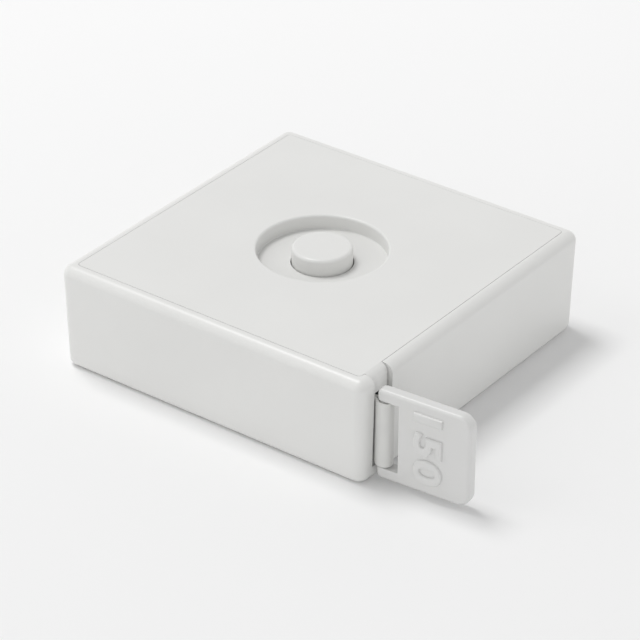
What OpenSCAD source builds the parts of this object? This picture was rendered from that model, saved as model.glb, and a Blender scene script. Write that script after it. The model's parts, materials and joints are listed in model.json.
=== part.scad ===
// Pocket tape measure: a flat square case with a spring reel, a centre push
// button that frees the reel, and a pull tab that swings on the end of the tape.
// X is the way the tape is drawn out, Z is up, and the origin is on the reel's
// axis at the underside of the case.

/* [Case] */
// Side of the square case
case_w = 50; // [46:0.5:70]
// Height of the case
case_h = 15.3; // [15:0.1:20]
// Thickness of the side walls
wall_t = 1.7; // [1.4:0.1:2.2]
// Thickness of the floor
floor_t = 1.4; // [1.4:0.1:1.8]
// Rounding of the top edges
edge_r = 1.4; // [0.6:0.1:1.5]
// Rounding of the bottom edges
foot_r = 1; // [0.6:0.1:1.5]
// Rounding of the upright corners
corner_r = 1.5; // [1.5:0.1:4]
// How far each side wall leans in at the floor
wall_lean = 0.3; // [0:0.05:0.4]
// Thickness of the cover plate
cover_t = 1.5; // [1.2:0.1:1.8]
// Gap round the cover plate
cover_gap = 0.05; // [0.03:0.01:0.2]

/* [Dish and button] */
// Radius of the round dish in the cover
dish_r = 8.9; // [8:0.1:9.4]
// Depth of the dish
dish_depth = 2.1; // [1.5:0.1:2.4]
// Thickness of the dish floor
dish_floor_t = 1.1; // [0.8:0.1:1.2]
// Thickness of the dish wall
dish_wall_t = 1.0; // [0.8:0.1:1.2]
// Radius of the button
button_r = 4.15; // [3.9:0.05:5]
// Gap round the button
button_gap = 0.15; // [0.1:0.05:0.5]
// How far the button stands above the cover
button_rise = 0.3; // [0:0.1:1]
// How far the button goes down
button_travel = 1.2; // [0.6:0.1:1.2]

/* [Tape] */
// Width of the tape
tape_w = 9.5; // [8:0.1:9.7]
// Thickness of the tape
tape_t = 0.35; // [0.25:0.05:0.4]
// Length that can be drawn out
tape_len = 1500; // [1000:50:1600]
// Height of the tape's lower edge above the table
tape_z = 2.6; // [2.45:0.05:2.8]

/* [Mouth] */
// Width of the slot that the tape leaves by
slot_w = 3.8; // [3:0.1:4.2]
// Distance from the case's side to the near edge of the slot
slot_in = 2.6; // [2.4:0.1:4]
// Height of the slot's lower end above the table
slot_z = 1.9; // [1.6:0.1:2.2]
// Gap between the tape and the near edge of the slot
mouth_gap = 0.5; // [0.45:0.05:1]
// Height of the cover's tongue over the slot
tongue_h = 3; // [2:0.05:3.1]
// Gap on each side of the tongue
tongue_gap = 0.1; // [0.05:0.05:0.3]
// How far the tongue stands back from the side wall
tongue_back = 0.75; // [0.4:0.05:1]

/* [Pull tab] */
// Length of the pull tab
tab_l = 13.7; // [10:0.1:24]
// Height of the pull tab
tab_h = 13.2; // [12.8:0.1:14]
// Thickness of the pull tab
tab_t = 1.8; // [1.6:0.1:2.6]
// Height of the tab's lower edge above the table
tab_z = 0.75; // [0.5:0.05:1]
// Rounding of the tab's outer corners
tab_corner_r = 1.8; // [1:0.1:4]
// Rounding of the tab's edges
tab_edge_r = 0.5; // [0.3:0.05:0.7]
// Depth of the notch that holds the tape's loop
notch_l = 3.2; // [3:0.1:4]
// Gap above and below the tape in the notch
notch_gap = 0.25; // [0.1:0.05:0.4]
// Radius of the bar that the tape is looped round
bar_r = 0.7; // [0.5:0.05:0.75]
// Length of the tape's end that is glued back onto the tape
tail_l = 3.5; // [2:0.5:6]
// Distance from the tab's end to the bar's axis
bar_in = 0.75; // [0.75:0.05:1]
// Gap between the tab and the case
tab_gap = 0.25; // [0.25:0.05:1]
// How far the tab is turned away from the tape's line
tab_turn = 4; // [-10:1:10]

/* [Reel] */
// Outer radius of the drum that the tape is wound on
drum_r = 12; // [11.8:0.1:13]
// Thickness of the drum's wall
drum_t = 1.0; // [0.8:0.1:1.2]
// Thickness of the reel's flanges
flange_t = 0.5; // [0.4:0.05:0.6]
// How far the flanges stand out past the full roll
flange_out = 1.5; // [0.5:0.1:1.8]
// Radius of the axle
axle_r = 3; // [2.9:0.1:3.4]
// Running gap round the axle
axle_gap = 0.08; // [0.04:0.01:0.1]
// Width of the mainspring's strip
spring_w = 3.2; // [2.6:0.1:3.4]
// Thickness of the mainspring's strip
spring_t = 0.18; // [0.12:0.02:0.24]
// Turns of the mainspring
spring_turns = 9; // [6:1:11]

/* [Screws] */
// Radius of the screws' shanks
screw_r = 1.1; // [0.9:0.05:1.2]
// Radius of the screws' heads
head_r = 2; // [1.8:0.05:2.1]
// Radius of the posts that the cover screws stand in
post_r = 3; // [2.9:0.1:3.2]

/* [Hidden] */
$fn = 64;
eps = 0.01;
thin = 0.01;

// Case
half_w = case_w / 2;
inner_half = half_w - wall_t;
inner_corner_r = 0.6;
cover_half = inner_half - cover_gap;
cover_z = case_h - cover_t;
seat_gap = 0.02;

// Mouth, in the side that faces +X, near the side that faces -Y
slot_y = -half_w + slot_in;
mouth_in = 0.7;
bend_in = 0.2;
loop_gap = 0.1;
glue_t = 0.05;
loop_r = bar_r + loop_gap + tape_t / 2;
tongue_z = case_h - tongue_h;

// Cover screws, in every corner but the one with the mouth
post_sink = 0.3;
post_at = inner_half - post_r + post_sink;
post_corners = [[-1, -1], [-1, 1], [1, 1]];
post_split = case_h * 0.55;
head_t = 1.3;
head_seat = 2;
tip_cover = 1.2;
tip_room = 0.4;
screw_tip = cover_z - tip_cover;
shank_gap = 0.12;
head_gap = 0.12;
recess_w = 0.44;
recess_l = 1.1 * head_r;
cover_recess = 0.9;
axle_recess = 0.6;

// Reel, from the floor upwards
tape_top = tape_z + tape_w;
washer_t = 0.3;
float_gap = 0.05;
reel_z = floor_t + washer_t + float_gap;
web_z = reel_z + flange_t;
drum_over = 0.25;
drum_top = tape_top + drum_over;
roll_r = sqrt(drum_r * drum_r + tape_len * tape_t / PI);
flange_r = roll_r + flange_out;
drum_in = drum_r - drum_t;
chamber_step = 0.5;
chamber_floor = 0.4;
spring_room = 0.25;
chamber_in = drum_in - chamber_step;
chamber_z = web_z + chamber_floor;
plate_z = chamber_z + spring_w + spring_room;
plate_t = 0.7;
plate_top = plate_z + plate_t;
slit_w = 0.4;
slit_gap = 0.1;
groove_w = 0.9;
groove_depth = 0.85;
anchor_w = 0.8;
anchor_t = 0.75;
anchor_gap = 0.1;

// Dish, button and brake, from the dish downwards
dish_top = case_h - dish_depth;
dish_low = dish_top - dish_floor_t;
pad_t = 0.4;
brake_gap = 0.1;
lip_top = dish_low - pad_t - brake_gap;
lip_t = 0.9;
lip_low = lip_top - lip_t;
lip_in = button_r + 2.4;
sleeve_in = dish_r + dish_wall_t + 0.35;
ring_t = 1.0;
ring_top = lip_low - brake_gap;
carrier_t = 0.7;
carrier_z = ring_top - ring_t - carrier_t;
carrier_r = sleeve_in - 0.55;
button_top = case_h + button_rise;

// Axle, with a square pin that keeps the button from turning
base_r = 5;
base_t = 0.5;
shoulder_z = plate_top + 0.6;
pin_side = 3;
socket_gap = 0.05;
coil_z = carrier_z + 2.2;
socket_top = button_top - 2.1;
pin_top = socket_top - button_travel - 0.3;
coil_wire_r = 0.2;
coil_r = pin_side / sqrt(2) + coil_wire_r + 0.33;
coil_turns = 3.5;
pocket_r = coil_r + coil_wire_r + 0.3;
axle_screw_tip = shoulder_z - tip_cover;
flat_in = 1;
screw_sink = 0.05;

// Tab and loop: the bar's axis is the hinge of the tab
bar_x = half_w + tab_gap + bar_in;
tape_y = slot_y + mouth_gap + tape_t / 2;
bar_y = tape_y + (tape_t + glue_t) / 2;
mouth_x = half_w - mouth_in;
pin_r = 0.8;
pin_seat = 0.6;

// The tape bends at bend_x and runs on to the roll as a tangent
bend_x = inner_half - bend_in;
roll_gap = 0.1;
tangent_r = roll_r + tape_t / 2 + roll_gap;
bend_dist = norm([bend_x, tape_y]);
run_angle = atan2(-tape_y, -bend_x) + asin(tangent_r / bend_dist);
run_len = sqrt(bend_dist * bend_dist - tangent_r * tangent_r);
run_dir = [cos(run_angle), sin(run_angle)];
run_bend = [bend_x, tape_y];
run_start = run_bend + run_len * run_dir;

// Guide pin, clear of the tape's glued end
pin_gap = 0.1;
pin_along = 2;
pin_out = tape_t / 2 + pin_gap + pin_r;
tail_bend = [bend_x, tape_y + tape_t + glue_t];
pin_at = tail_bend + pin_along * run_dir + pin_out * [run_dir[1], -run_dir[0]];

// Outline of a strip of thickness t that follows a list of points
function unit(v) = v / norm(v);
function heading(p, i) = unit(p[min(i + 1, len(p) - 1)] - p[max(i - 1, 0)]);
function side(p, i, d) = p[i] + d * [-heading(p, i)[1], heading(p, i)[0]];
function strip(p, t) = concat(
    [for (i = [0 : len(p) - 1]) side(p, i, t / 2)],
    [for (i = [len(p) - 1 : -1 : 0]) side(p, i, -t / 2)]
);
function polar(r, a) = [r * cos(a), r * sin(a)];
function mix(a, b, t) = a * (1 - t) + b * t;
function bow(a, b, c, t) = mix(mix(a, b, t), mix(b, c, t), t);
function curve(a, b, c, d) = [
    for (i = [0 : 12]) let (t = i / 12) mix(bow(a, b, c, t), bow(b, c, d, t), t)
];
function mirror_y(p, y) = [for (i = [len(p) - 1 : -1 : 0]) [p[i][0], 2 * y - p[i][1]]];

// Square with round corners, as an exact solid
module round_block(half, r, h) {
    translate([-half + r, -half, 0]) cube([2 * (half - r), 2 * half, h]);
    translate([-half, -half + r, 0]) cube([2 * half, 2 * (half - r), h]);
    for (x = [-1, 1], y = [-1, 1])
        translate([x * (half - r), y * (half - r), 0]) cylinder(r = r, h = h);
}

// One thin layer of the outer skin, set in from the wall by inset
module skin_layer(z, inset) {
    r = corner_r - inset;
    c = half_w - wall_lean * (1 - z / case_h) - corner_r;
    for (x = [-1, 1], y = [-1, 1])
        translate([x * c, y * c, min(z, case_h - thin)]) cylinder(r = r, h = thin, $fn = 32);
}

// Outer form of the closed case, with its edges rounded
module case_skin() {
    hull() for (a = [0 : 11.25 : 90]) {
        skin_layer(foot_r * (1 - sin(a)), foot_r * (1 - cos(a)));
        skin_layer(case_h - edge_r * (1 - sin(a)), edge_r * (1 - cos(a)));
    }
}

module at_posts() {
    for (c = post_corners) translate([c[0] * post_at, c[1] * post_at, 0]) children();
}

// Place of the guide pin, beside the tape just inside the mouth
module at_pin() {
    translate([pin_at[0], pin_at[1], floor_t - pin_seat]) children();
}

// Round plate or ring between two heights
module ring(outer, inner, z0, z1) {
    translate([0, 0, z0]) difference() {
        cylinder(r = outer, h = z1 - z0);
        translate([0, 0, -eps]) cylinder(r = inner, h = z1 - z0 + 2 * eps);
    }
}

// Cross recess of a screw head, cut upwards from the height z
module cross_cut(z, depth) {
    for (a = [0, 90]) rotate([0, 0, a])
        translate([-recess_l / 2, -recess_w / 2, z - eps]) cube([recess_l, recess_w, depth + eps]);
}

// Base of the axle, round with one flat so that it can't turn
module axle_foot(extra) {
    difference() {
        translate([0, 0, floor_t - base_t]) cylinder(r = base_r + extra, h = base_t);
        translate([base_r - flat_in + extra, -base_r - 1, 0]) cube([3, 2 * base_r + 2, floor_t + 1]);
    }
}

// Lower half of the case: floor, four walls and the posts for the cover screws
module case_tray() {
    color("whitesmoke") difference() {
        union() {
            difference() {
                case_skin();
                translate([0, 0, floor_t]) round_block(inner_half, inner_corner_r, case_h);
            }
            at_posts() translate([0, 0, floor_t - eps]) cylinder(r = post_r, h = post_split - floor_t + eps);
        }
        at_posts() {
            translate([0, 0, -eps]) cylinder(r = head_r + head_gap, h = head_seat + eps);
            cylinder(r = screw_r + shank_gap, h = post_split + 1);
        }
        // Slot for the tape, open at the top until the cover closes it
        translate([inner_half - 1, slot_y, slot_z]) cube([wall_t + 2, slot_w, case_h]);
        // Seat of the axle, and the hole for its screw
        axle_foot(seat_gap);
        cylinder(r = screw_r + shank_gap, h = floor_t + 1);
        at_pin() cylinder(r = pin_r + seat_gap, h = pin_seat + 1);
        translate([0, 0, -eps]) cylinder(r1 = head_r + 0.07, r2 = screw_r, h = floor_t - base_t);
    }
}

// Cover plate with the dish, the button's hole, the screw posts and the tongue
module top_cover() {
    tongue_w = slot_w - 2 * tongue_gap;
    tongue_end = half_w - tongue_back;
    round_r = edge_r * 0.8;
    color("white") difference() {
        union() {
            translate([0, 0, cover_z]) round_block(cover_half, inner_corner_r - cover_gap, cover_t);
            translate([0, 0, dish_low]) cylinder(r = dish_r + dish_wall_t, h = cover_z - dish_low + eps);
            at_posts() translate([0, 0, post_split])
                cylinder(r = cover_half - post_at, h = cover_z - post_split + eps);
            translate([cover_half - 1, slot_y + tongue_gap, tongue_z]) {
                cube([tongue_end - round_r - cover_half + 1, tongue_w, tongue_h]);
                cube([tongue_end - cover_half + 1, tongue_w, tongue_h - round_r]);
                translate([tongue_end - cover_half + 1 - round_r, 0, tongue_h - round_r])
                    rotate([-90, 0, 0]) cylinder(r = round_r, h = tongue_w);
            }
        }
        translate([0, 0, dish_top]) cylinder(r = dish_r, h = dish_depth + 1);
        translate([0, 0, dish_low - 1])
            cylinder(r = button_r + button_gap, h = dish_depth + dish_floor_t + 2);
        at_posts() cylinder(r = screw_r + seat_gap, h = screw_tip + tip_room);
        at_pin() cylinder(r = pin_r + seat_gap, h = cover_z - floor_t + 2 * pin_seat);
    }
}

// Three pan-head screws, put in from below
module cover_screws() {
    color("silver") at_posts() difference() {
        union() {
            translate([0, 0, head_seat - head_t]) cylinder(r = head_r, h = head_t);
            translate([0, 0, head_seat - eps]) cylinder(r = screw_r, h = screw_tip - head_seat + eps);
        }
        cross_cut(head_seat - head_t, cover_recess);
    }
}

// Countersunk screw that holds the axle down on the floor
module axle_screw() {
    head_h = floor_t - base_t - 0.1;
    color("silver") difference() {
        union() {
            translate([0, 0, screw_sink]) cylinder(r1 = head_r, r2 = screw_r, h = head_h);
            translate([0, 0, head_h]) cylinder(r = screw_r, h = axle_screw_tip - head_h);
        }
        cross_cut(screw_sink, axle_recess);
    }
}

// Fixed axle: foot, round bearing, and a square pin at the top
module reel_axle() {
    color("lightsteelblue") difference() {
        union() {
            axle_foot(0);
            translate([0, 0, floor_t - eps]) cylinder(r = axle_r, h = shoulder_z - floor_t + eps);
            translate([-pin_side / 2, -pin_side / 2, shoulder_z - eps])
                cube([pin_side, pin_side, pin_top - shoulder_z + eps]);
        }
        translate([0, 0, -eps]) cylinder(r = screw_r + seat_gap, h = axle_screw_tip + tip_room);
        // Slot that takes the inner end of the mainspring
        translate([axle_r - 1.2, -slit_w / 2, chamber_z - slit_gap])
            cube([2, slit_w, spring_w + 2 * slit_gap]);
    }
}

// Washer between the floor and the reel
module lower_washer() {
    color("ivory") ring(axle_r + 3, axle_r + axle_gap, floor_t, floor_t + washer_t);
}

// Pad under the dish, against which the brake clamps the reel
module upper_washer() {
    color("ivory") ring(carrier_r - 0.1, lip_in + 0.2, dish_low - pad_t, dish_low);
}

// Lower flange and drum of the reel, with the chamber for the mainspring
module reel_hub() {
    color("gainsboro") difference() {
        union() {
            ring(flange_r, axle_r + axle_gap, reel_z, web_z);
            ring(drum_r, chamber_in, web_z - eps, plate_z);
            ring(drum_r, drum_in, plate_z - eps, drum_top);
        }
        // Slot for the hooked outer end of the mainspring
        translate([chamber_in - 0.5, -slit_w / 2, chamber_z - slit_gap])
            cube([1.2, slit_w, spring_w + 2 * slit_gap]);
        // Groove for the bar that holds the tape's inner end
        rotate([0, 0, 180]) translate([drum_r - groove_depth, -groove_w / 2, web_z])
            cube([1.5, groove_w, drum_top]);
    }
}

// Bar that wedges the inner end of the tape in the drum's groove
module tape_anchor() {
    color("silver") rotate([0, 0, 180])
        translate([drum_r - groove_depth, -anchor_w / 2, web_z])
            cube([anchor_t, anchor_w, drum_top - web_z - anchor_gap]);
}

// Flat spiral spring: its inner end sits in the axle, its outer end in the drum
module mainspring() {
    r0 = axle_r + 0.3;
    r1 = chamber_in - 0.2;
    steps = spring_turns * 30;
    spiral = [for (i = [1 : steps - 1]) polar(r0 + (r1 - r0) * pow(i / steps, 0.8), i * 12)];
    path = concat([[axle_r - 1, 0], [r0 - 0.15, 0.02]], spiral, [[r1, 0], [chamber_in + 0.5, 0]]);
    color("steelblue") translate([0, 0, chamber_z])
        linear_extrude(spring_w) polygon(strip(path, spring_t));
}

// Plate that closes the spring chamber, pressed into the drum
module spring_plate() {
    color("lightgray") ring(drum_in - seat_gap, axle_r + axle_gap, plate_z, plate_top);
}

// Upper flange of the reel, with the lip that the brake takes hold of
module reel_flange() {
    color("gainsboro") {
        ring(flange_r, drum_in - seat_gap - eps, drum_top, drum_top + flange_t);
        ring(drum_in - seat_gap, sleeve_in, min(lip_low, drum_top), max(lip_top, drum_top + flange_t));
        ring(sleeve_in + eps, lip_in, lip_low, lip_top);
    }
}

// Friction ring on the button's carrier
module brake_ring() {
    color("dimgray") ring(carrier_r - 0.1, lip_in + 0.2, ring_top - ring_t, ring_top);
}

// Button with its carrier disc, spring pocket and square socket
module push_button() {
    crown = 0.4;
    color("white") difference() {
        union() {
            translate([0, 0, carrier_z]) cylinder(r = carrier_r, h = carrier_t);
            translate([0, 0, carrier_z]) cylinder(r = button_r, h = button_top - crown - carrier_z);
            translate([0, 0, button_top - crown - eps]) cylinder(r = button_r - crown, h = crown + eps);
            translate([0, 0, button_top - crown])
                rotate_extrude() translate([button_r - crown, 0]) circle(r = crown);
        }
        translate([0, 0, carrier_z - eps]) cylinder(r = pocket_r, h = coil_z - carrier_z + eps);
        translate([-pin_side / 2 - socket_gap, -pin_side / 2 - socket_gap, carrier_z])
            cube([pin_side + 2 * socket_gap, pin_side + 2 * socket_gap, socket_top - carrier_z]);
    }
}

// Coil spring between the axle's shoulder and the button
module button_spring() {
    sides = 8;
    per_turn = 20;
    steps = coil_turns * per_turn;
    low = shoulder_z + coil_wire_r;
    rise = coil_z - shoulder_z - 2 * coil_wire_r;
    function wire_point(i, j) =
        let (a = i * 360 / per_turn, b = j * 360 / sides, r = coil_r + coil_wire_r * cos(b))
        [r * cos(a), r * sin(a), low + rise * i / steps + coil_wire_r * sin(b)];
    points = [for (i = [0 : steps], j = [0 : sides - 1]) wire_point(i, j)];
    walls = [for (i = [0 : steps - 1], j = [0 : sides - 1])
        let (k = (j + 1) % sides) [i * sides + j, i * sides + k, (i + 1) * sides + k, (i + 1) * sides + j]];
    start = [for (j = [sides - 1 : -1 : 0]) j];
    end = [for (j = [0 : sides - 1]) steps * sides + j];
    color("silver") polyhedron(points, concat([start], walls, [end]));
}

// Tape wound on the drum
module tape_roll() {
    color("white") ring(roll_r, drum_r, tape_z, tape_top);
}

// Tape from the roll to the mouth
module tape_run() {
    path = [run_start, run_bend, [mouth_x, tape_y]];
    color("white") translate([0, 0, tape_z]) linear_extrude(tape_w) polygon(strip(path, tape_t));
}

// Steel pin that keeps the tape off the drum's side of the mouth
module guide_pin() {
    color("silver") at_pin() cylinder(r = pin_r, h = cover_z - floor_t + 2 * pin_seat - 0.1);
}

// End of the tape: out of the mouth, round the bar in a full bow, and back onto itself
module tape_loop() {
    near_y = bar_y - loop_r;
    lead = 0.05;
    pull_a = 0.55;
    pull_b = 0.9;
    start = [mouth_x + lead, tape_y];
    bend = curve(start, [mouth_x + pull_a, tape_y], [mouth_x + pull_b, near_y], [bar_x, near_y]);
    near = concat([[mouth_x, tape_y]], bend);
    arc = [for (i = [1 : 23]) [bar_x, bar_y] + polar(loop_r, -90 + 180 * i / 24)];
    path = concat(near, arc, mirror_y(near, bar_y), [tail_bend, tail_bend + tail_l * run_dir]);
    color("white") translate([0, 0, tape_z]) linear_extrude(tape_w) polygon(strip(path, tape_t));
}

// One rounded corner of the tab: discs that step in towards the tab's two faces
module tab_corner(x, z, r) {
    translate([x, 0, z]) rotate([90, 0, 0]) for (a = [0 : 18 : 90])
        cylinder(
            r = r - tab_edge_r * (1 - cos(a)),
            h = tab_t - 2 * tab_edge_r * (1 - sin(a)),
            center = true, $fn = 32
        );
}

// Pull tab: a plate with rounded edges, a notch at its inner end and a bar across it
module pull_tab() {
    small_r = tab_edge_r + 0.2;
    x1 = tab_l - bar_in;
    z0 = tab_z;
    z1 = tab_z + tab_h;
    notch_z = tape_z - notch_gap;
    notch_h = tape_w + 2 * notch_gap;
    color("whitesmoke") translate([bar_x, bar_y, 0]) rotate([0, 0, tab_turn]) {
        difference() {
            hull() {
                tab_corner(-bar_in + small_r, z0 + small_r, small_r);
                tab_corner(-bar_in + small_r, z1 - small_r, small_r);
                tab_corner(x1 - tab_corner_r, z0 + tab_corner_r, tab_corner_r);
                tab_corner(x1 - tab_corner_r, z1 - tab_corner_r, tab_corner_r);
            }
            translate([-bar_in - 1, -tab_t, notch_z]) cube([notch_l + 1, 2 * tab_t, notch_h]);
        }
        translate([0, 0, notch_z - 0.3]) cylinder(r = bar_r, h = notch_h + 0.6);
    }
}

case_tray();
top_cover();
cover_screws();
axle_screw();
reel_axle();
lower_washer();
upper_washer();
reel_hub();
tape_anchor();
mainspring();
spring_plate();
reel_flange();
brake_ring();
push_button();
button_spring();
tape_roll();
tape_run();
guide_pin();
tape_loop();
pull_tab();
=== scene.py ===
import bpy
import json
import math
from mathutils import Matrix, Quaternion, Vector


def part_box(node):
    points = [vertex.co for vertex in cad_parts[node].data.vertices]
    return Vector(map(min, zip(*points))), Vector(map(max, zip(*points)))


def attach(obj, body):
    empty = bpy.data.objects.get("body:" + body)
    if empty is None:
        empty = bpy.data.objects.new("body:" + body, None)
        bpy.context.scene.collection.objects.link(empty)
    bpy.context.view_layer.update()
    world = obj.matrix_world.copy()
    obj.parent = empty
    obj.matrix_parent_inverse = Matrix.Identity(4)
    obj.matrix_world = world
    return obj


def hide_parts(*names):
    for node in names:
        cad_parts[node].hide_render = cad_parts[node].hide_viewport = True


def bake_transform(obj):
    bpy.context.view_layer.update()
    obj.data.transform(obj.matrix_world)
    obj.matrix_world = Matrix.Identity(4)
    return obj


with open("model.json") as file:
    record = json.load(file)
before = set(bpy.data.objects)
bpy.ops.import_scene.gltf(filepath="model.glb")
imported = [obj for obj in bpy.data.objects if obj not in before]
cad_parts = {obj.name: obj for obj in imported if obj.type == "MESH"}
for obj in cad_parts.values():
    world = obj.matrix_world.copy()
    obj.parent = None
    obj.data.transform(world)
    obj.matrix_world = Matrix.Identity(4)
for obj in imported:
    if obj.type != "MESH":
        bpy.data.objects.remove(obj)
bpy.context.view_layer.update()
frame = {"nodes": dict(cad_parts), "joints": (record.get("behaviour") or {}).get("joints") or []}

MM = 0.001

# ---------------------------------------------------------------- sizes, mm
CASE_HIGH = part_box("case_tray")[1] / MM
ROLL_LOW, ROLL_HIGH = (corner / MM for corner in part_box("tape_roll"))
TAB_LOW, TAB_HIGH = (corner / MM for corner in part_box("pull_tab"))
BUTTON_LOW, BUTTON_HIGH = (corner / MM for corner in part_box("push_button"))
COIL_LOW, COIL_HIGH = (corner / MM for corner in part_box("button_spring"))
SWING = next(j for j in frame["joints"] if j["name"] == "tab_swing")

HALF = CASE_HIGH.x
HEIGHT = CASE_HIGH.z
WALL = 1.7
FLOOR_T = 1.4
LEAN = 0.3
CORNER_R = 1.5
TOP_EDGE_R = 1.4
BOTTOM_EDGE_R = 1.0
CAVITY = HALF - WALL
CAVITY_CORNER_R = 0.6
SEAM_R = 0.17

COVER_HALF = CAVITY - 0.05
COVER_Z = HEIGHT - 1.5
DISH_R = 8.9
DISH_Z = HEIGHT - 2.1
DISH_LOW = DISH_Z - 1.1
DISH_WALL = 1.0
RIM_R = 0.35
FILLET_R = 0.2

BUTTON_R = 4.15
BUTTON_HOLE_R = BUTTON_R + 0.15
BUTTON_EDGE_R = 0.5
BUTTON_TOP = BUTTON_HIGH.z
CARRIER_Z = BUTTON_LOW.z
CARRIER_T = 0.7
CARRIER_R = BUTTON_HIGH.x
POCKET_R = 3.05
POCKET_TOP = CARRIER_Z + 2.2
SOCKET_TOP = BUTTON_TOP - 2.1
SOCKET_HALF = 1.55

WIRE_R = 0.2
COIL_TURNS = 3.5
COIL_R = COIL_HIGH.x - WIRE_R

POST_SPLIT = HEIGHT * 0.55
POST_R = 3.0
POST_SINK = 0.3
POST_AT = CAVITY - POST_R + POST_SINK
PILOT_R = 1.12
SCREW_HOLE_R = 1.22
SCREW_HEAD_R = 2.12
HEAD_SEAT = 2.0
AXLE_SEAT_R = 5.02
AXLE_SEAT_FLAT = 4.02
AXLE_SEAT_DEPTH = 0.5
SINK_LOW_R = 2.13
SINK_HIGH_R = 1.1
POSTS = [(-POST_AT, -POST_AT), (-POST_AT, POST_AT), (POST_AT, POST_AT)]

SLOT_Y = -HALF + 2.6
SLOT_W = 3.8
SLOT_Z = 1.9
TONGUE_GAP = 0.1
TONGUE_H = 3.0
TONGUE_END = HALF - 0.75

TAPE_T = 0.35
GLUE_T = 0.05
TAIL_L = 3.5
BEND_X = CAVITY - 0.2
ROLL_GAP = 0.1
TAPE_LOW = ROLL_LOW.z
TAPE_HIGH = ROLL_HIGH.z
TAPE_Y = SLOT_Y + 0.5 + TAPE_T / 2
ROLL_R = ROLL_HIGH.x
BAR_X, BAR_Y = SWING["pos_m"][0] / MM, SWING["pos_m"][1] / MM
BAR_R = 0.7
LOOP_GAP = 0.1
PIN_R = 0.82
PIN_SEAT = 0.6
PIN_AT = [(low + high) / 2 / MM for low, high in zip(*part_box("guide_pin"))][:2]
LOOP_R = BAR_R + LOOP_GAP + TAPE_T / 2
MOUTH_X = HALF - 0.7

TAB_TURN = math.radians(4)
TAB_L = 13.7
TAB_T = 1.8
TAB_OUTER_R = 1.8
TAB_INNER_R = 0.7
TAB_EDGE_R = 0.5
BAR_IN = 0.75
NOTCH_L = 3.2
NOTCH_GAP = 0.25
MARK_L = 10.4
MARK_H = 4.3
MARK_AT = 4.7
MARK_RELIEF = 7


# ---------------------------------------------------------------- modelling
def on_top(piece):
    """Makes one piece the only one selected, and the active one."""
    bpy.ops.object.select_all(action="DESELECT")
    piece.select_set(True)
    bpy.context.view_layer.objects.active = piece


def settle(name):
    """Names the new primitive and puts its place into its mesh."""
    piece = bpy.context.object
    piece.name = name
    bpy.ops.object.transform_apply(location=True, rotation=True, scale=True)
    return piece


def block(name, low, high):
    size = [(h - l) * MM for l, h in zip(low, high)]
    middle = [(h + l) / 2 * MM for l, h in zip(low, high)]
    bpy.ops.object.select_all(action="DESELECT")
    bpy.ops.mesh.primitive_cube_add(size=1, location=middle, scale=size)
    return settle(name)


def rod(name, radius, z0, z1, at=(0, 0), sides=96, top_radius=None):
    bpy.ops.object.select_all(action="DESELECT")
    bpy.ops.mesh.primitive_cone_add(
        vertices=sides,
        radius1=radius * MM,
        radius2=(radius if top_radius is None else top_radius) * MM,
        depth=(z1 - z0) * MM,
        location=(at[0] * MM, at[1] * MM, (z0 + z1) / 2 * MM),
    )
    return settle(name)


def pick(piece, test, kind="EDGE"):
    """Selects, in edit mode, the edges or faces that the test says yes to."""
    on_top(piece)
    bpy.ops.object.mode_set(mode="EDIT")
    bpy.ops.mesh.select_mode(type=kind)
    bpy.ops.mesh.select_all(action="DESELECT")
    bpy.ops.object.mode_set(mode="OBJECT")
    mesh = piece.data
    parts = mesh.edges if kind == "EDGE" else mesh.polygons
    for part in parts:
        corners = [mesh.vertices[i].co / MM for i in part.vertices]
        part.select = bool(test(corners))
    bpy.ops.object.mode_set(mode="EDIT")


def done():
    bpy.ops.object.mode_set(mode="OBJECT")


def round_off(piece, test, radius, steps):
    pick(piece, test)
    bpy.ops.mesh.bevel(
        offset=radius * MM, offset_type="OFFSET", segments=steps, profile=0.5,
        affect="EDGES", clamp_overlap=False,
    )
    done()


def upright(corners):
    return abs(corners[0].z - corners[1].z) > 1 and (corners[0] - corners[1]).xy.length < 0.5


def at_height(z):
    return lambda corners: all(abs(c.z - z) < 0.01 for c in corners)


def on_circle(z, radius):
    return lambda corners: all(
        abs(c.z - z) < 0.01 and abs(c.xy.length - radius) < 0.02 for c in corners
    )


def finish_with(piece, kind, **settings):
    on_top(piece)
    modifier = piece.modifiers.new(kind.lower(), kind)
    for key, value in settings.items():
        setattr(modifier, key, value)
    bpy.ops.object.modifier_apply(modifier=modifier.name)


def cut(piece, cutter, how="DIFFERENCE"):
    finish_with(piece, "BOOLEAN", operation=how, object=cutter, solver="EXACT")
    bpy.data.objects.remove(cutter)


def clean(piece):
    on_top(piece)
    bpy.ops.object.mode_set(mode="EDIT")
    bpy.ops.mesh.select_all(action="SELECT")
    bpy.ops.mesh.remove_doubles(threshold=0.002 * MM)
    bpy.ops.mesh.normals_make_consistent(inside=False)
    done()


def soften(piece, radius, steps, angle=40):
    """Takes the sharpness off every moulded edge and evens the shading."""
    finish_with(
        piece, "BEVEL", width=radius * MM, segments=steps, limit_method="ANGLE",
        angle_limit=math.radians(angle), use_clamp_overlap=True,
        miter_outer="MITER_ARC", harden_normals=False,
    )
    on_top(piece)
    bpy.ops.object.shade_smooth_by_angle(angle=math.radians(50))
    finish_with(piece, "WEIGHTED_NORMAL", keep_sharp=True, weight=80)


# ---------------------------------------------------------------- materials
def linear(hex_colour):
    """sRGB hex to the linear values that a shader takes."""
    values = [int(hex_colour[i:i + 2], 16) / 255 for i in (1, 3, 5)]
    return [v / 12.92 if v <= 0.04045 else ((v + 0.055) / 1.055) ** 2.4 for v in values] + [1]


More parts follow.
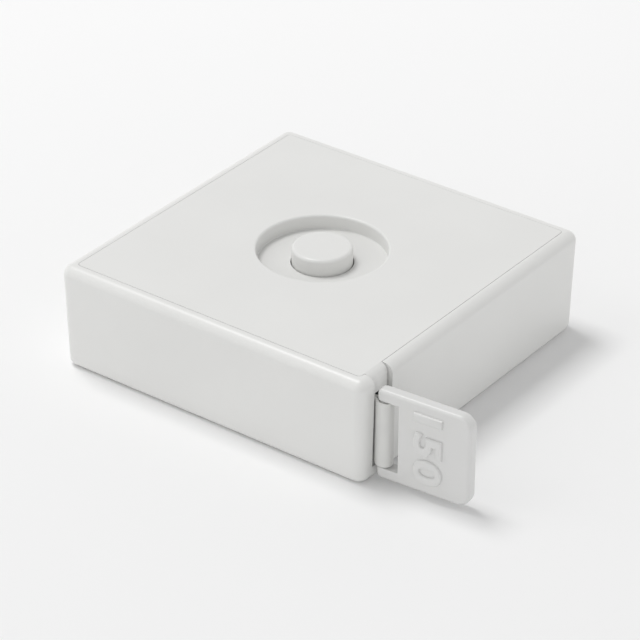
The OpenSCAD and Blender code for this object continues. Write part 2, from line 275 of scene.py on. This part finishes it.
def add(material, kind, settings=None, **links):
    """Adds one node: properties and input values by name, and links by input name."""
    tree = material.node_tree
    new = tree.nodes.new("ShaderNode" + kind)
    for key, value in (settings or {}).items():
        if key in new.inputs:
            new.inputs[key].default_value = value
        else:
            setattr(new, key, value)
    for key, output in links.items():
        tree.links.new(output, new.inputs[key.replace("_", " ")])
    return new


def blank(name):
    material = bpy.data.materials.new(name)
    material.use_nodes = True
    shader = material.node_tree.nodes["Principled BSDF"]
    place = add(material, "TexCoord").outputs["Object"]
    return material, shader, place


def join(material, output, shader, socket):
    material.node_tree.links.new(output, shader.inputs[socket])


def mottle(material, shader, place, light, dark, size_mm, detail=3.0):
    """Slow change of colour between two near shades, size_mm across."""
    cloud = add(material, "TexNoise", {"Scale": 1 / (size_mm * MM), "Detail": detail}, Vector=place)
    ramp = add(material, "ValToRGB", Fac=cloud.outputs["Fac"])
    ramp.color_ramp.elements[0].position = 0.35
    ramp.color_ramp.elements[0].color = linear(dark)
    ramp.color_ramp.elements[1].position = 0.65
    ramp.color_ramp.elements[1].color = linear(light)
    join(material, ramp.outputs["Color"], shader, "Base Color")


def grain(material, shader, place, grain_mm, height_mm, strength, low, high):
    """Fine surface texture: bumps of a real size, and gloss that changes with them."""
    noise = add(material, "TexNoise", {"Scale": 1 / (grain_mm * MM), "Detail": 2.0}, Vector=place)
    bump = add(
        material, "Bump", {"Strength": strength, "Distance": height_mm * MM},
        Height=noise.outputs["Fac"],
    )
    join(material, bump.outputs["Normal"], shader, "Normal")
    gloss = add(material, "MapRange", {"To Min": low, "To Max": high}, Value=noise.outputs["Fac"])
    join(material, gloss.outputs["Result"], shader, "Roughness")


def moulded_abs(name, light, dark):
    """ABS moulded in a spark-eroded tool: white, satin, with a fine even grain."""
    material, shader, place = blank(name)
    shader.inputs["IOR"].default_value = 1.53
    mottle(material, shader, place, light, dark, 14)
    # the real grain is near 0.05 mm; it is drawn at 0.22 mm, the finest that shows
    grain(material, shader, place, 0.22, 0.01, 0.25, 0.29, 0.39)
    return material


def moulded_acetal():
    """Acetal reel parts: waxy, a little yellow, smoother than the case."""
    material, shader, place = blank("moulded acetal")
    shader.inputs["IOR"].default_value = 1.48
    mottle(material, shader, place, "#DCD9D0", "#D5D2C8", 9)
    grain(material, shader, place, 0.4, 0.01, 0.2, 0.28, 0.40)
    return material


def printed_tape():
    """Coated glass-fibre tape: white varnish over a fine weave, printed in millimetres."""
    material, shader, place = blank("coated glass-fibre tape")
    shader.inputs["IOR"].default_value = 1.5
    axes = add(material, "SeparateXYZ", Vector=place)
    along, up = axes.outputs["X"], axes.outputs["Z"]

    def maths(operation, a, b):
        new = add(material, "Math", {"operation": operation})
        for socket, value in zip(new.inputs, (a, b)):
            if isinstance(value, (int, float)):
                socket.default_value = value
            else:
                material.node_tree.links.new(value, socket)
        return new.outputs[0]

    def ticks(period_mm, line_mm, reach_mm):
        """Lines of one width, one period apart, up to reach_mm from the lower edge."""
        step = maths("FRACT", maths("DIVIDE", maths("ADD", along, line_mm / 2 * MM), period_mm * MM), 0)
        line = maths("LESS_THAN", step, line_mm / period_mm)
        near = maths("LESS_THAN", up, (TAPE_LOW + reach_mm) * MM)
        return maths("MULTIPLY", line, near)

    marks = maths("MAXIMUM", ticks(1, 0.14, 2.2), ticks(5, 0.16, 3.4))
    marks = maths("MAXIMUM", marks, ticks(10, 0.22, 4.9))
    outside = maths("GREATER_THAN", along, (HALF + 2.6) * MM)
    marks = maths("MULTIPLY", marks, outside)
    weave = add(material, "TexNoise", {"Scale": 1 / (3 * MM), "Detail": 3.0}, Vector=place)
    base = add(material, "ValToRGB", Fac=weave.outputs["Fac"])
    base.color_ramp.elements[0].color = linear("#D6D6D4")
    base.color_ramp.elements[1].color = linear("#DDDDDA")
    ink = add(material, "MixRGB", {"Color2": linear("#2B2B2D")}, Fac=marks, Color1=base.outputs["Color"])
    join(material, ink.outputs["Color"], shader, "Base Color")
    grain(material, shader, place, 0.3, 0.012, 0.3, 0.30, 0.42)
    return material


def metal(name, colour, grain_mm, low, high, strength):
    """Bare or plated metal, its gloss broken up by fine tool marks."""
    material, shader, place = blank(name)
    shader.inputs["Metallic"].default_value = 1.0
    mottle(material, shader, place, colour, colour, 4)
    grain(material, shader, place, grain_mm, 0.01, strength, low, high)
    return material


def moulded_rubber():
    """Brake ring: dull dark rubber with a dusty bloom."""
    material, shader, place = blank("moulded rubber")
    mottle(material, shader, place, "#3E3F41", "#333436", 2)
    grain(material, shader, place, 0.35, 0.03, 0.4, 0.7, 0.85)
    return material


def matt_board():
    """Pale seamless studio board, matt, with a faint paper tooth; its colour is a painted light falloff,
    paler toward the key light's side.
    """
    material, shader, place = blank("matt paper board")
    # painted light: the board's colour runs from darker at the front to paler toward the key light (-X,
    # +Y), standing in for the light's falloff
    depth = add(material, "VectorMath", {"operation": "DOT_PRODUCT"}, Vector=place)
    depth.inputs[1].default_value = (-0.6, 0.8, 0)
    painted_falloff_share = add(
        material, "MapRange", {"From Min": -0.085, "From Max": 0.105}, Value=depth.outputs["Value"]
    )
    painted_falloff_colour = add(material, "ValToRGB", Fac=painted_falloff_share.outputs["Result"])
    painted_falloff_colour.color_ramp.elements[0].color = linear("#F3F3F3")
    painted_falloff_colour.color_ramp.elements[1].color = linear("#F9F9F9")
    join(material, painted_falloff_colour.outputs["Color"], shader, "Base Color")
    grain(material, shader, place, 1.2, 0.02, 0.1, 0.85, 0.95)
    shader.inputs["Specular IOR Level"].default_value = 0.1
    return material


CASE_ABS = moulded_abs("moulded ABS, white", "#E4E4E2", "#E2E2E0")
TAB_ABS = moulded_abs("moulded ABS, tab", "#DBDBDA", "#D9D9D7")
ACETAL = moulded_acetal()
TAPE = printed_tape()
STEEL = metal("turned steel", "#B9BBBD", 0.15, 0.22, 0.34, 0.2)
BLUED = metal("tempered spring steel", "#7E8791", 0.3, 0.2, 0.32, 0.2)
ZINC = metal("zinc-plated steel", "#C6C8C6", 0.25, 0.28, 0.42, 0.3)
RUBBER = moulded_rubber()
BOARD = matt_board()


def coat(piece, material):
    """One material all over a new piece."""
    piece.data.materials.clear()
    piece.data.materials.append(material)


def hand_in(piece, body, slot, material, *nodes):
    coat(piece, material)
    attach(piece, body)
    if nodes:
        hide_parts(*nodes)


# ---------------------------------------------------------------- case tray
def make_tray():
    tray = block("tray", (-HALF, -HALF, 0), (HALF, HALF, HEIGHT))
    pick(tray, at_height(0), "FACE")
    shrink = (HALF - LEAN) / HALF
    bpy.ops.transform.resize(value=(shrink, shrink, 1), center_override=(0, 0, 0))
    done()
    round_off(tray, upright, CORNER_R, 8)
    round_off(tray, at_height(HEIGHT), TOP_EDGE_R, 8)
    round_off(tray, at_height(0), BOTTOM_EDGE_R, 6)

    cavity = block("cavity", (-CAVITY, -CAVITY, FLOOR_T), (CAVITY, CAVITY, HEIGHT + 2))
    round_off(cavity, upright, CAVITY_CORNER_R, 4)
    cut(tray, cavity)
    for at in POSTS:
        cut(tray, rod("post", POST_R, FLOOR_T - POST_SINK, POST_SPLIT, at, 48), "UNION")
    for at in POSTS:
        cut(tray, rod("head", SCREW_HEAD_R, -1, HEAD_SEAT, at, 48))
        cut(tray, rod("hole", SCREW_HOLE_R, -1, POST_SPLIT + 1, at, 32))
    cut(tray, block("slot", (CAVITY - 1, SLOT_Y, SLOT_Z), (HALF + 1, SLOT_Y + SLOT_W, HEIGHT + 2)))
    seat = rod("seat", AXLE_SEAT_R, FLOOR_T - AXLE_SEAT_DEPTH, FLOOR_T + 1)
    cut(seat, block("flat", (AXLE_SEAT_FLAT, -7, -1), (7, 7, 5)))
    cut(tray, seat)
    cut(tray, rod("axle hole", SCREW_HOLE_R, -1, FLOOR_T + 1, sides=32))
    cut(tray, rod(
        "countersink", SINK_LOW_R, -0.05, FLOOR_T - AXLE_SEAT_DEPTH, sides=48, top_radius=SINK_HIGH_R
    ))
    cut(tray, rod("pin hole", PIN_R, FLOOR_T - PIN_SEAT, FLOOR_T + 1, PIN_AT, 24))
    clean(tray)
    soften(tray, 0.12, 3)
    hand_in(tray, "case", "white_abs", CASE_ABS, "case_tray")


# ---------------------------------------------------------------- top cover
def make_cover():
    cover = block("cover", (-COVER_HALF, -COVER_HALF, COVER_Z), (COVER_HALF, COVER_HALF, HEIGHT))
    round_off(cover, upright, CAVITY_CORNER_R - 0.05, 4)
    tongue = block(
        "tongue", (COVER_HALF - 1, SLOT_Y + TONGUE_GAP, HEIGHT - TONGUE_H),
        (TONGUE_END, SLOT_Y + SLOT_W - TONGUE_GAP, HEIGHT),
    )
    outer_top = lambda corners: all(c.x > TONGUE_END - 0.01 and c.z > HEIGHT - 0.01 for c in corners)
    round_off(tongue, outer_top, TOP_EDGE_R * 0.8, 6)
    cut(cover, tongue, "UNION")
    cut(cover, rod("dish wall", DISH_R + DISH_WALL, DISH_LOW, COVER_Z + 0.2, sides=128), "UNION")
    for at in POSTS:
        cut(cover, rod("post", COVER_HALF - POST_AT, POST_SPLIT, COVER_Z + 0.2, at, 48), "UNION")
        cut(cover, rod("hole", PILOT_R, POST_SPLIT - 1, COVER_Z - 0.8, at, 32))
    cut(cover, rod("dish", DISH_R, DISH_Z, HEIGHT + 1, sides=128))
    cut(cover, rod("button hole", BUTTON_HOLE_R, DISH_LOW - 1, HEIGHT + 1, sides=96))
    cut(cover, rod("pin hole", PIN_R, COVER_Z - 1, COVER_Z + PIN_SEAT, PIN_AT, 24))
    clean(cover)
    round_off(cover, on_circle(HEIGHT, DISH_R), RIM_R, 4)
    round_off(cover, on_circle(DISH_Z, DISH_R), FILLET_R, 3)
    soften(cover, SEAM_R, 3)
    hand_in(cover, "case", "white_abs", CASE_ABS, "top_cover")


# ---------------------------------------------------------------- button
def make_button():
    button = rod("button", CARRIER_R, CARRIER_Z, CARRIER_Z + CARRIER_T, sides=96)
    pick(button, at_height(CARRIER_Z + CARRIER_T), "FACE")
    bpy.ops.mesh.inset(thickness=(CARRIER_R - BUTTON_R) * MM, depth=0)
    bpy.ops.mesh.extrude_region_move(
        TRANSFORM_OT_translate={"value": (0, 0, (BUTTON_TOP - CARRIER_Z - CARRIER_T) * MM)}
    )
    done()
    pick(button, at_height(CARRIER_Z), "FACE")
    bpy.ops.mesh.inset(thickness=(CARRIER_R - POCKET_R) * MM, depth=0)
    bpy.ops.mesh.extrude_region_move(
        TRANSFORM_OT_translate={"value": (0, 0, (POCKET_TOP - CARRIER_Z) * MM)}
    )
    done()
    cut(button, block(
        "socket", (-SOCKET_HALF, -SOCKET_HALF, CARRIER_Z - 1), (SOCKET_HALF, SOCKET_HALF, SOCKET_TOP)
    ))
    clean(button)
    round_off(button, on_circle(BUTTON_TOP, BUTTON_R), BUTTON_EDGE_R, 5)
    soften(button, 0.08, 2)
    hand_in(button, "button", "white_abs", CASE_ABS, "push_button")


def make_coil():
    """Coil spring under the button."""
    bpy.ops.object.select_all(action="DESELECT")
    bpy.ops.mesh.primitive_circle_add(
        vertices=12, radius=WIRE_R * MM, rotation=(math.pi / 2, 0, 0),
        location=(COIL_R * MM, 0, (COIL_LOW.z + WIRE_R) * MM),
    )
    coil = settle("coil_spring")
    finish_with(
        coil, "SCREW", axis="Z", angle=2 * math.pi * COIL_TURNS, steps=112, render_steps=112,
        screw_offset=(COIL_HIGH.z - COIL_LOW.z - 2 * WIRE_R) * MM,
    )
    on_top(coil)
    bpy.ops.object.mode_set(mode="EDIT")
    bpy.ops.mesh.select_all(action="SELECT")
    bpy.ops.mesh.fill_holes(sides=0)
    done()
    clean(coil)
    on_top(coil)
    bpy.ops.object.shade_smooth_by_angle(angle=math.radians(50))
    coat(coil, STEEL)
    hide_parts("button_spring")
    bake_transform(coil)


# ---------------------------------------------------------------- tape
def strip(name, points):
    """A band of tape's height that follows points, from one upright edge extruded along them."""
    (x0, y0), (x1, y1) = points[0], points[1]
    height = TAPE_HIGH - TAPE_LOW
    bpy.ops.object.select_all(action="DESELECT")
    bpy.ops.mesh.primitive_plane_add(size=1, location=(0, 0, 0))
    band = bpy.context.object
    band.name = name
    mesh = band.data
    corners = [(x0, y0, TAPE_LOW), (x1, y1, TAPE_LOW), (x1, y1, TAPE_HIGH), (x0, y0, TAPE_HIGH)]
    order = list(mesh.polygons[0].vertices)
    for index, corner in zip(order, corners):
        mesh.vertices[index].co = Vector(corner) * MM
    front = (x1, y1)
    for x, y in points[2:]:
        pick(band, lambda cs, f=front: all((c.xy - Vector(f)).length < 0.0005 for c in cs))
        bpy.ops.mesh.extrude_edges_move(
            TRANSFORM_OT_translate={"value": ((x - front[0]) * MM, (y - front[1]) * MM, 0)}
        )
        done()
        front = (x, y)
    return band


def thicken(band):
    finish_with(band, "SOLIDIFY", thickness=TAPE_T * MM, offset=0, use_even_offset=True)
    clean(band)
    soften(band, 0.05, 2, 60)


def arc(centre, radius, start, end, steps):
    turn = [math.radians(start + (end - start) * i / steps) for i in range(steps + 1)]
    return [(centre[0] + radius * math.cos(a), centre[1] + radius * math.sin(a)) for a in turn]


def curve(a, b, c, d, steps):
    """Points of a smooth bow from a to d, pulled towards b and c."""
    points = []
    for i in range(steps + 1):
        t = i / steps
        shares = ((1 - t) ** 3, 3 * t * (1 - t) ** 2, 3 * t * t * (1 - t), t ** 3)
        points.append(tuple(sum(k * p[j] for k, p in zip(shares, (a, b, c, d))) for j in (0, 1)))
    return points


def make_tape():
    tangent_r = ROLL_R + TAPE_T / 2 + ROLL_GAP
    reach = math.hypot(BEND_X, TAPE_Y)
    angle = math.atan2(-TAPE_Y, -BEND_X) + math.asin(tangent_r / reach)
    run = math.sqrt(reach * reach - tangent_r * tangent_r)
    way = (math.cos(angle), math.sin(angle))

    inner = [(BEND_X + way[0] * run * k, TAPE_Y + way[1] * run * k) for k in (1, 0.66, 0.33, 0)]
    outer = [(BEND_X + (MOUTH_X - BEND_X) * k / 24, TAPE_Y) for k in range(1, 25)]
    band = strip("tape_band", inner + outer)
    thicken(band)
    coat(band, TAPE)
    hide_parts("tape_run")
    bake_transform(band)

    near_y = BAR_Y - LOOP_R
    near = [(MOUTH_X, TAPE_Y)] + curve(
        (MOUTH_X + 0.05, TAPE_Y), (MOUTH_X + 0.55, TAPE_Y), (MOUTH_X + 0.9, near_y), (BAR_X, near_y), 12
    )
    turn = arc((BAR_X, BAR_Y), LOOP_R, -90, 90, 24)
    far = [(x, 2 * BAR_Y - y) for x, y in reversed(near)]
    fold = (BEND_X, TAPE_Y + TAPE_T + GLUE_T)
    tail = (fold[0] + TAIL_L * way[0], fold[1] + TAIL_L * way[1])
    loop = strip("tape_end_loop", near + turn[1:-1] + far + [fold, tail])
    thicken(loop)
    hand_in(loop, "tape_end", "tape_white", TAPE, "tape_loop")


# ---------------------------------------------------------------- pull tab
def turn_with_tab(piece):
    """Turns a piece about the bar's axis, by as much as the tab is turned."""
    on_top(piece)
    bar = Vector((BAR_X * MM, BAR_Y * MM, 0))
    piece.matrix_world = Matrix.Translation(bar) @ Matrix.Rotation(TAB_TURN, 4, "Z")
    bpy.ops.object.transform_apply(location=True, rotation=True, scale=True)


def make_tab():
    low, high = TAB_LOW.z, TAB_HIGH.z
    right = TAB_L - BAR_IN
    tab = block("tab", (-BAR_IN, -TAB_T / 2, low), (right, TAB_T / 2, high))
    across = lambda corners: abs(corners[0].y - corners[1].y) > 1
    round_off(tab, lambda cs: across(cs) and cs[0].x > 5, TAB_OUTER_R, 10)
    round_off(tab, lambda cs: across(cs) and cs[0].x < 0, TAB_INNER_R, 5)
    for side in (-1, 1):
        face = lambda cs, s=side: all(abs(c.y - s * TAB_T / 2) < 0.01 for c in cs)
        round_off(tab, face, TAB_EDGE_R, 5)
    notch_low, notch_high = TAPE_LOW - NOTCH_GAP, TAPE_HIGH + NOTCH_GAP
    cut(tab, block("notch", (-BAR_IN - 1, -TAB_T, notch_low), (NOTCH_L - BAR_IN, TAB_T, notch_high)))
    clean(tab)
    soften(tab, 0.1, 3, 50)
    cut(tab, rod("bar", BAR_R, notch_low - 0.3, notch_high + 0.3, sides=32), "UNION")
    on_top(tab)
    bpy.ops.object.shade_smooth_by_angle(angle=math.radians(40))
    turn_with_tab(tab)
    hand_in(tab, "tab", "white_abs", TAB_ABS, "pull_tab")


def make_length_mark():
    """Raised length mark on the tab, read from the top down."""
    bpy.ops.object.select_all(action="DESELECT")
    bpy.ops.object.text_add(location=(0, 0, 0))
    words = bpy.context.object
    words.name = "length_mark"
    words.data.body = "150"
    words.data.size = 1.0
    words.data.space_character = 1.1
    words.data.offset = 0.0
    words.data.extrude = 0.002
    words.data.bevel_depth = 0.045
    words.data.bevel_resolution = 3
    words.data.align_x = "CENTER"
    words.data.resolution_u = 6
    bpy.ops.object.convert(target="MESH")
    words = bpy.context.object
    xs = [v.co.x for v in words.data.vertices]
    ys = [v.co.y for v in words.data.vertices]
    across = MARK_L / (max(xs) - min(xs))
    upward = MARK_H / (max(ys) - min(ys))
    middle = ((max(xs) + min(xs)) / 2, min(ys))
    for vertex in words.data.vertices:
        x, y, z = vertex.co
        flat = ((x - middle[0]) * across, (y - middle[1]) * upward, z * MARK_RELIEF)
        vertex.co = Vector((
            MARK_AT + flat[1], -TAB_T / 2 - flat[2], (TAB_LOW.z + TAB_HIGH.z) / 2 - flat[0]
        )) * MM
    clean(words)
    on_top(words)
    bpy.ops.object.shade_smooth_by_angle(angle=math.radians(30))
    turn_with_tab(words)
    hand_in(words, "tab", "white_abs", TAB_ABS)


make_tray()
make_cover()
make_button()
make_coil()
make_tape()
make_tab()
make_length_mark()

# ---------------------------------------------------------------- inner parts
FINISHES = {
    "cover_screws": ZINC,
    "axle_screw": ZINC,
    "reel_axle": STEEL,
    "lower_washer": ACETAL,
    "upper_washer": ACETAL,
    "reel_hub": ACETAL,
    "spring_plate": ZINC,
    "reel_flange": ACETAL,
    "tape_anchor": ZINC,
    "guide_pin": STEEL,
    "mainspring": BLUED,
    "brake_ring": RUBBER,
    "tape_roll": TAPE,
}
for name, material in FINISHES.items():
    part = frame["nodes"][name]
    if not part.material_slots:
        part.data.materials.append(material)
    for place in part.material_slots:
        place.material = material


# ---------------------------------------------------------------- studio
WALLS_LIGHT = 1.17
CEILING_LIGHT = 0.25
LEFT_SIDE = (-0.3, -0.95, 0)
SIDE_SHARE = 0.03
FLOOR_SIZE = 6
KEY_WAY = Vector((-0.405, 0.02, 1)).normalized()
KEY_AWAY = 1.8
KEY_WATTS = 13.9
KEY_SIZE = 0.62
FILL_WAY = Vector((-0.5, -0.5, 0.8)).normalized()
FILL_AWAY = 1.2
FILL_WATTS = 0.9
FILL_SIZE = 0.6


def make_studio():
    bpy.ops.object.select_all(action="DESELECT")
    bpy.ops.mesh.primitive_plane_add(size=FLOOR_SIZE, location=(0, 0, 0))
    floor = bpy.context.object
    floor.name = "studio_floor"
    floor.data.materials.append(BOARD)

    world = bpy.data.worlds.new("soft room light")
    bpy.context.scene.world = world
    world.use_nodes = True
    glow = world.node_tree.nodes["Background"]
    way = add(world, "TexCoord").outputs["Generated"]
    rise = add(world, "SeparateXYZ", Vector=way).outputs["Z"]
    sky = add(world, "ValToRGB", Fac=rise)
    sky.color_ramp.elements[0].position = 0.0
    sky.color_ramp.elements[0].color = (WALLS_LIGHT, WALLS_LIGHT, WALLS_LIGHT, 1)
    sky.color_ramp.elements[1].position = 1.0
    sky.color_ramp.elements[1].color = (CEILING_LIGHT, CEILING_LIGHT, CEILING_LIGHT, 1)
    from_left = add(world, "VectorMath", {"operation": "DOT_PRODUCT"}, Vector=way)
    from_left.inputs[1].default_value = LEFT_SIDE
    lift = add(world, "MapRange", {"From Min": -1.0, "To Min": 1 - SIDE_SHARE, "To Max": 1 + SIDE_SHARE},
               Value=from_left.outputs["Value"])
    world.node_tree.links.new(sky.outputs["Color"], glow.inputs["Color"])
    world.node_tree.links.new(lift.outputs["Result"], glow.inputs["Strength"])

    def softbox(name, place, watts, size):
        lamp = bpy.data.lights.new(name, "AREA")
        lamp.energy = watts
        lamp.size = size
        holder = bpy.data.objects.new(name, lamp)
        bpy.context.scene.collection.objects.link(holder)
        holder.location = place
        holder.rotation_euler = (-Vector(place)).to_track_quat("-Z", "Y").to_euler()

    softbox("overhead softbox", KEY_WAY * KEY_AWAY, KEY_WATTS, KEY_SIZE)
    softbox("left fill", FILL_WAY * FILL_AWAY, FILL_WATTS, FILL_SIZE)
    bpy.context.scene.view_settings.view_transform = "Standard"


CAMERA_AZIMUTH = math.radians(36.657)
CAMERA_RISE = math.radians(31.079)
CAMERA_ROLL = math.radians(0.264)
CAMERA_AWAY = 0.424857
CAMERA_AIM = Vector((0.002757, -0.004167, 0.007))
CAMERA_LENS = 178.48


def make_camera():
    out = Vector((
        math.sin(CAMERA_AZIMUTH) * math.cos(CAMERA_RISE),
        -math.cos(CAMERA_AZIMUTH) * math.cos(CAMERA_RISE),
        math.sin(CAMERA_RISE),
    ))
    camera = bpy.data.objects.new("camera", bpy.data.cameras.new("camera"))
    bpy.context.scene.collection.objects.link(camera)
    camera.location = CAMERA_AIM + out * CAMERA_AWAY
    camera.rotation_mode = "QUATERNION"
    camera.rotation_quaternion = (
        (-out).to_track_quat("-Z", "Y") @ Quaternion((0, 0, 1), CAMERA_ROLL)
    )
    camera.data.sensor_width = 36
    camera.data.lens = CAMERA_LENS
    camera.data.clip_start = 0.01
    bpy.context.scene.camera = camera


make_studio()
make_camera()
